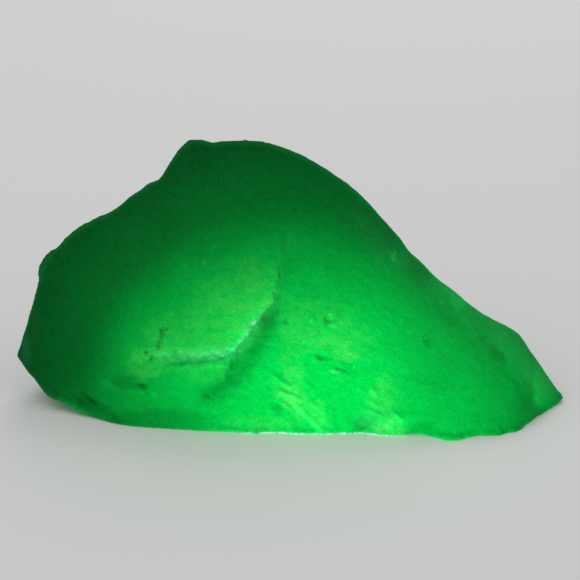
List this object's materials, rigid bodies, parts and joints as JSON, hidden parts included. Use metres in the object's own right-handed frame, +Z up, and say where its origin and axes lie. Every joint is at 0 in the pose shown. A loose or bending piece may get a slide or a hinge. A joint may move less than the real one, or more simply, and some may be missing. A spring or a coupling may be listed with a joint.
{
  "type": "slag glass chunk",
  "caption": "Broken lump of cloudy green slag glass, with a ridged, swelling front, one pointed end and a flat fracture that it stands on.",
  "frame": {"origin": "on the surface that the lump stands on, under the middle of its box", "axes": "+X towards the thin pointed end, +Y towards the back, -Y is the front that the picture shows, +Z up"},
  "size_m": [0.1108, 0.05, 0.0515],
  "materials": {
    "slag_glass": "cloudy green glass, satin broken faces with a low shine; it glows bright green low on the front, as lit by an ultraviolet lamp"
  },
  "bodies": {
    "root": {"glass_chunk": "slag_glass"}
  },
  "joints": []
}
